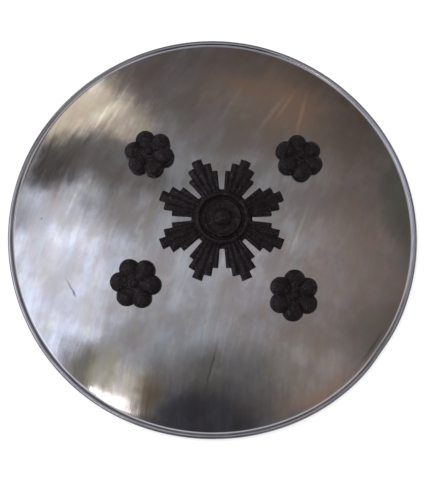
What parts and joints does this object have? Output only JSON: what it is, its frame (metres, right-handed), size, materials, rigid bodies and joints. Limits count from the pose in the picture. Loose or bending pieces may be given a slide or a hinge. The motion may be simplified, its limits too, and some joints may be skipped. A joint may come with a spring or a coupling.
{
  "type": "buckler shield",
  "caption": "Round domed steel buckler with a rolled rim, a blackened cast sunburst at its crown, cast rosettes around it and leather grip straps inside.",
  "frame": {"origin": "middle of the circle on which the rolled rim rests, in the resting plane", "axes": "+Z out of the front through the crown of the dome, +Y towards the shield's top, +X to the right as seen from the front"},
  "size_m": [0.4, 0.4, 0.0695],
  "materials": {
    "polished_steel": "polished by hand, streaked and slightly patinated",
    "black_iron": "rough cast, blackened, with a dull sheen on the high places",
    "strap_leather": "plain vegetable-tanned leather, worn at the edges",
    "plain_steel": "dull grey"
  },
  "bodies": {
    "root": {"shield_plate": "polished_steel", "sunburst": "black_iron", "rosette_upper_right": "black_iron", "rosette_upper_left": "black_iron", "rosette_lower_left": "black_iron", "rosette_lower_right": "black_iron", "grip_strap_left": "strap_leather", "grip_strap_right": "strap_leather", "strap_washer_upper_right": "plain_steel", "strap_washer_upper_left": "plain_steel", "strap_washer_lower_left": "plain_steel", "strap_washer_lower_right": "plain_steel", "sunburst_washer": "plain_steel"}
  },
  "joints": []
}
